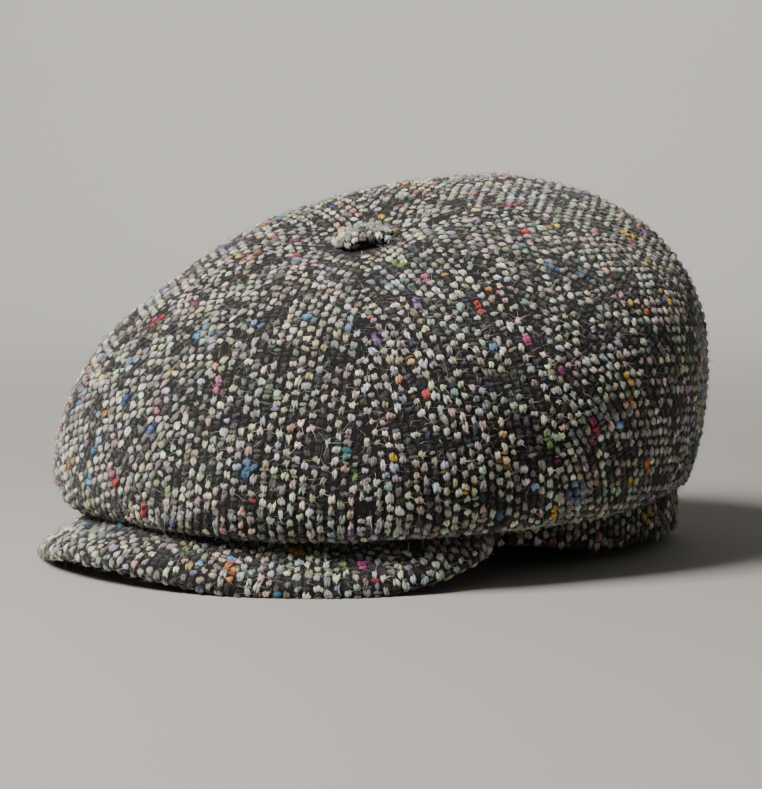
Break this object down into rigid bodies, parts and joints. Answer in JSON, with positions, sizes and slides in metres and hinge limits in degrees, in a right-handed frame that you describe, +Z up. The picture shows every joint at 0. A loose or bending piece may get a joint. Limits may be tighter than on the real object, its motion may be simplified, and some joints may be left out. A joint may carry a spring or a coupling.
{
  "type": "flat cap",
  "caption": "Full tweed flat cap with a rounded hollow crown, a small covered button, an oval band and a short arched brim, lying as if just set down.",
  "frame": {"origin": "middle of the cap's outline on the surface that it rests on", "axes": "the brim points along -Y, +Z is up, +X is the wearer's left"},
  "size_m": [0.238, 0.283, 0.1505],
  "materials": {
    "crown": "flecked wool tweed",
    "button": "flecked wool tweed",
    "band": "flecked wool tweed",
    "brim": "flecked wool tweed"
  },
  "bodies": {
    "root": {"crown": "crown", "button": "button", "band": "band", "brim": "brim"}
  },
  "joints": []
}
